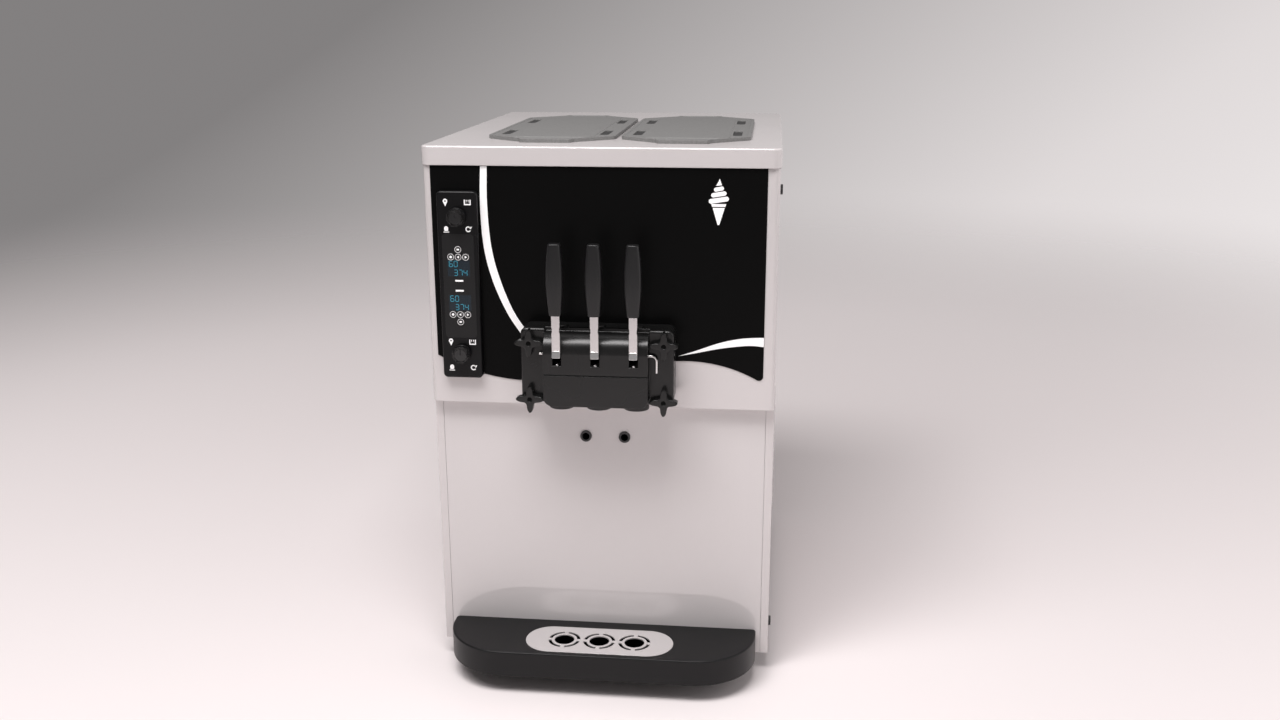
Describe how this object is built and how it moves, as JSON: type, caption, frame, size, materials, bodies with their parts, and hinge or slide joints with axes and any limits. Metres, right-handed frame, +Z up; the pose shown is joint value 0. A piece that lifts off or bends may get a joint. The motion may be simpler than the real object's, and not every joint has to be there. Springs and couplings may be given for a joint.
{
  "type": "soft serve ice cream machine",
  "caption": "Countertop twin-flavour soft-serve machine with draw levers, control module, hopper lids and a drip tray in a stainless body.",
  "frame": {"origin": "middle of the overall footprint at counter level, under the four feet", "axes": "+Z up, the draw levers and drip tray face -Y, +X to the right of the head seen from the front"},
  "size_m": [0.5244, 0.7622, 0.8255],
  "materials": {
    "aluminium_fins": "bare aluminium fins",
    "black_print": "printed gloss film",
    "black_rubber": "rubber",
    "copper": "drawn copper tube",
    "display_face": "tinted display window",
    "foam": "closed-cell insulating foam",
    "galvanised": "dull zinc-coated sheet",
    "head_black": "dense black moulded plastic, semi-gloss",
    "key_black": "black key with pale ring",
    "lid_grey": "grey moulded plastic, fine grain",
    "machine_paint": "black enamel",
    "module_grey": "dark grey moulded plastic",
    "motor_paint": "blue-grey enamel",
    "screw_black": "black coated steel",
    "seal_red": "silicone rubber",
    "stainless_brushed": "fine vertical brushing, satin",
    "stainless_polished": "polished stainless",
    "tray_grey": "dark grey moulded plastic"
  },
  "bodies": {
    "machine": {"base_pan": "galvanised", "levelling_feet": "black_rubber", "chassis_frame": "galvanised", "panel_screws": "screw_black", "rear_panel": "stainless_brushed", "upper_front_panel": "stainless_brushed", "lower_front_panel": "stainless_brushed", "front_graphic_panel": "black_print", "top_cover": "stainless_brushed", "hoppers": "stainless_polished", "freezing_cylinders": "stainless_polished", "cylinder_insulation": "foam", "cylinder_seals": "seal_red", "gear_motors": "motor_paint", "compressor": "machine_paint", "condenser": "aluminium_fins", "fan_shroud": "galvanised", "fan_motor": "machine_paint", "refrigerant_pipes": "copper", "electrical_box": "module_grey", "cable_gland": "head_black", "dispensing_head": "head_black", "control_housing": "module_grey", "control_face": "display_face", "drain_tubes": "screw_black", "side_panel_left": "stainless_brushed", "side_panel_right": "stainless_brushed"},
    "hopper_lid_left": {"hopper_lid_left": "lid_grey"},
    "feed_tube_left": {"feed_tube_left": "stainless_polished"},
    "beater_left": {"beater_left": "stainless_polished"},
    "hopper_lid_right": {"hopper_lid_right": "lid_grey"},
    "feed_tube_right": {"feed_tube_right": "stainless_polished"},
    "beater_right": {"beater_right": "stainless_polished"},
    "condenser_fan": {"condenser_fan": "machine_paint"},
    "draw_lever_left": {"draw_lever_left": "stainless_brushed", "lever_grip_left": "head_black"},
    "draw_lever_centre": {"draw_lever_centre": "stainless_brushed", "lever_grip_centre": "head_black"},
    "draw_lever_right": {"draw_lever_right": "stainless_brushed", "lever_grip_right": "head_black"},
    "piston_left": {"piston_left": "head_black"},
    "piston_centre": {"piston_centre": "head_black"},
    "piston_right": {"piston_right": "head_black"},
    "pivot_rod": {"pivot_rod": "stainless_polished"},
    "star_nut_upper_left": {"star_nut_upper_left": "head_black"},
    "star_nut_upper_right": {"star_nut_upper_right": "head_black"},
    "star_nut_lower_left": {"star_nut_lower_left": "head_black"},
    "star_nut_lower_right": {"star_nut_lower_right": "head_black"},
    "control_knob_upper": {"control_knob_upper": "module_grey"},
    "control_knob_lower": {"control_knob_lower": "module_grey"},
    "control_key_1": {"control_key_1": "key_black"},
    "control_key_2": {"control_key_2": "key_black"},
    "control_key_3": {"control_key_3": "key_black"},
    "control_key_4": {"control_key_4": "key_black"},
    "control_key_5": {"control_key_5": "key_black"},
    "control_key_6": {"control_key_6": "key_black"},
    "control_key_7": {"control_key_7": "key_black"},
    "control_key_8": {"control_key_8": "key_black"},
    "drip_tray": {"drip_tray": "tray_grey"},
    "drip_grille": {"drip_grille": "stainless_brushed"}
  },
  "joints": [
    {"name": "lid_lift_left", "type": "slide", "parent": "machine", "child": "hopper_lid_left", "axis": [0, 0, 1], "range_m": [0, 0.12]},
    {"name": "feed_tube_turn_left", "type": "hinge", "parent": "machine", "child": "feed_tube_left", "pos_m": [-0.0556, -0.1361, 0.7], "axis": [0, 0, 1], "range_deg": [0, 90]},
    {"name": "beater_spin_left", "type": "hinge", "parent": "machine", "child": "beater_left", "pos_m": [-0.0556, -0.1261, 0.508], "axis": [0, 1, 0], "continuous": true},
    {"name": "lid_lift_right", "type": "slide", "parent": "machine", "child": "hopper_lid_right", "axis": [0, 0, 1], "range_m": [0, 0.12]},
    {"name": "feed_tube_turn_right", "type": "hinge", "parent": "machine", "child": "feed_tube_right", "pos_m": [0.0556, -0.1361, 0.7], "axis": [0, 0, 1], "range_deg": [0, 90]},
    {"name": "beater_spin_right", "type": "hinge", "parent": "machine", "child": "beater_right", "pos_m": [0.0556, -0.1261, 0.508], "axis": [0, 1, 0], "continuous": true},
    {"name": "fan_spin", "type": "hinge", "parent": "machine", "child": "condenser_fan", "pos_m": [0.095, 0.2789, 0.185], "axis": [0, 1, 0], "continuous": true},
    {"name": "lever_pull_left", "type": "hinge", "parent": "machine", "child": "draw_lever_left", "pos_m": [-0.0556, -0.3301, 0.527], "axis": [1, 0, 0], "range_deg": [0, 35]},
    {"name": "lever_pull_centre", "type": "hinge", "parent": "machine", "child": "draw_lever_centre", "pos_m": [0, -0.3301, 0.527], "axis": [1, 0, 0], "range_deg": [0, 35]},
    {"name": "lever_pull_right", "type": "hinge", "parent": "machine", "child": "draw_lever_right", "pos_m": [0.0556, -0.3301, 0.527], "axis": [1, 0, 0], "range_deg": [0, 35]},
    {"name": "piston_lift_left", "type": "slide", "parent": "machine", "child": "piston_left", "axis": [0, 0, 1], "range_m": [0, 0.01626]},
    {"name": "piston_lift_centre", "type": "slide", "parent": "machine", "child": "piston_centre", "axis": [0, 0, 1], "range_m": [0, 0.01626]},
    {"name": "piston_lift_right", "type": "slide", "parent": "machine", "child": "piston_right", "axis": [0, 0, 1], "range_m": [0, 0.01626]},
    {"name": "rod_turn", "type": "hinge", "parent": "machine", "child": "pivot_rod", "pos_m": [0, -0.3301, 0.527], "axis": [1, 0, 0], "range_deg": [-120, 0]},
    {"name": "nut_turn_upper_left", "type": "hinge", "parent": "machine", "child": "star_nut_upper_left", "pos_m": [-0.098, -0.3311, 0.543], "axis": [0, -1, 0], "continuous": true},
    {"name": "nut_turn_upper_right", "type": "hinge", "parent": "machine", "child": "star_nut_upper_right", "pos_m": [0.098, -0.3311, 0.543], "axis": [0, -1, 0], "continuous": true},
    {"name": "nut_turn_lower_left", "type": "hinge", "parent": "machine", "child": "star_nut_lower_left", "pos_m": [-0.098, -0.3311, 0.4585], "axis": [0, -1, 0], "continuous": true},
    {"name": "nut_turn_lower_right", "type": "hinge", "parent": "machine", "child": "star_nut_lower_right", "pos_m": [0.098, -0.3311, 0.4585], "axis": [0, -1, 0], "continuous": true},
    {"name": "knob_turn_upper", "type": "hinge", "parent": "machine", "child": "control_knob_upper", "pos_m": [-0.2068, -0.3001, 0.719], "axis": [0, 1, 0], "range_deg": [-135, 135]},
    {"name": "knob_turn_lower", "type": "hinge", "parent": "machine", "child": "control_knob_lower", "pos_m": [-0.2068, -0.3001, 0.5144], "axis": [0, 1, 0], "range_deg": [-135, 135]},
    {"name": "key_press_1", "type": "slide", "parent": "machine", "child": "control_key_1", "axis": [0, 1, 0], "range_m": [0, 0.001], "stiffness_N_per_m": 800, "springref_m": -0.0002},
    {"name": "key_press_2", "type": "slide", "parent": "machine", "child": "control_key_2", "axis": [0, 1, 0], "range_m": [0, 0.001], "stiffness_N_per_m": 800, "springref_m": -0.0002},
    {"name": "key_press_3", "type": "slide", "parent": "machine", "child": "control_key_3", "axis": [0, 1, 0], "range_m": [0, 0.001], "stiffness_N_per_m": 800, "springref_m": -0.0002},
    {"name": "key_press_4", "type": "slide", "parent": "machine", "child": "control_key_4", "axis": [0, 1, 0], "range_m": [0, 0.001], "stiffness_N_per_m": 800, "springref_m": -0.0002},
    {"name": "key_press_5", "type": "slide", "parent": "machine", "child": "control_key_5", "axis": [0, 1, 0], "range_m": [0, 0.001], "stiffness_N_per_m": 800, "springref_m": -0.0002},
    {"name": "key_press_6", "type": "slide", "parent": "machine", "child": "control_key_6", "axis": [0, 1, 0], "range_m": [0, 0.001], "stiffness_N_per_m": 800, "springref_m": -0.0002},
    {"name": "key_press_7", "type": "slide", "parent": "machine", "child": "control_key_7", "axis": [0, 1, 0], "range_m": [0, 0.001], "stiffness_N_per_m": 800, "springref_m": -0.0002},
    {"name": "key_press_8", "type": "slide", "parent": "machine", "child": "control_key_8", "axis": [0, 1, 0], "range_m": [0, 0.001], "stiffness_N_per_m": 800, "springref_m": -0.0002},
    {"name": "tray_slide", "type": "slide", "parent": "machine", "child": "drip_tray", "axis": [0, -1, 0], "range_m": [0, 0.06]},
    {"name": "grille_lift", "type": "slide", "parent": "drip_tray", "child": "drip_grille", "axis": [0, 0, 1], "range_m": [0, 0.08]}
  ],
  "couplings": [
    {"joint": "piston_lift_left", "follows": "lever_pull_left", "m_per_rad": 0.026582},
    {"joint": "piston_lift_centre", "follows": "lever_pull_centre", "m_per_rad": 0.026582},
    {"joint": "piston_lift_right", "follows": "lever_pull_right", "m_per_rad": 0.026582}
  ]
}
